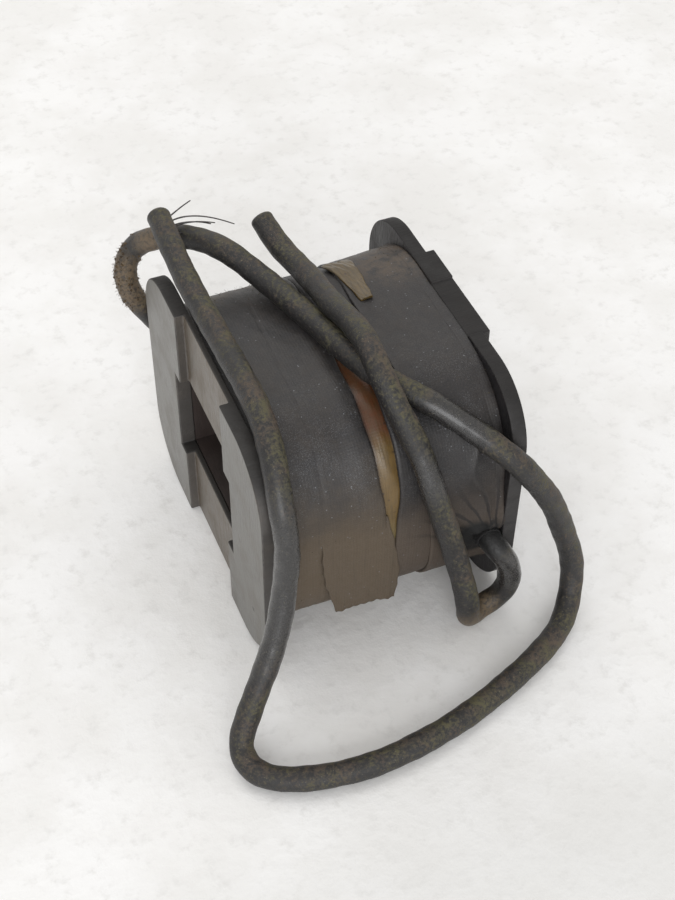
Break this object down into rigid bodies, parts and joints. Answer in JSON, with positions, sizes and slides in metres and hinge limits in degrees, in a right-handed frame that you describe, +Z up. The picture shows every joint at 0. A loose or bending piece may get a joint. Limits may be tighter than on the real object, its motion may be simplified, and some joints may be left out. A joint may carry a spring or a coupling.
{
  "type": "ignition coil",
  "caption": "Magneto ignition coil: taped windings on a rectangular tube between two rounded moulded end plates, with a window for the core leg and two rubber-covered leads.",
  "frame": {"origin": "middle of the flat bottom edges of the two end plates, under the centre of the wound body", "axes": "+X along the winding axis towards the plate with the raised band, +Y towards the back of the plates, +Z up"},
  "size_m": [0.0503, 0.0679, 0.0415],
  "materials": {
    "moulded_plate": "satin moulded phenolic, worn at the edges",
    "fibre": "dark vulcanised fibre",
    "paper": "varnish-soaked paper",
    "fish_paper": "grey fish paper",
    "magnet_wire": "enamelled copper wire",
    "fine_wire": "fine enamelled copper wire with paper between layers",
    "varnished_cambric": "yellow varnished cambric",
    "black_tape": "black cambric tape, dusty",
    "solder": "dull solder",
    "sleeving": "varnished cotton sleeving",
    "copper": "dull copper strand",
    "bound_thread": "frayed brown binding",
    "lead_rubber": "aged rubber cover with dust",
    "tinned_strand": "tarnished tinned strand"
  },
  "bodies": {
    "root": {"left_end_plate": "moulded_plate", "right_end_plate": "moulded_plate", "core_tube": "fibre", "tube_liner": "paper", "left_end_washer": "fish_paper", "right_end_washer": "fish_paper", "primary_winding": "magnet_wire", "layer_insulation": "paper", "secondary_winding": "fine_wire", "left_margin_filler": "paper", "right_margin_filler": "paper", "varnished_wrap": "varnished_cambric", "left_tape_wrap": "black_tape", "right_tape_wrap": "black_tape", "right_lap_wrap": "black_tape", "edge_tape_turn": "black_tape", "varnished_tab": "varnished_cambric", "loose_tape_tail": "black_tape", "winding_joint": "solder", "joint_sleeve": "sleeving", "left_conductor": "copper", "left_splice_sleeve": "sleeving", "left_lead_binding": "bound_thread", "left_lead": "lead_rubber", "left_lead_strands": "tinned_strand", "right_conductor": "copper", "right_splice_sleeve": "sleeving", "right_lead_binding": "bound_thread", "right_lead": "lead_rubber"}
  },
  "joints": []
}
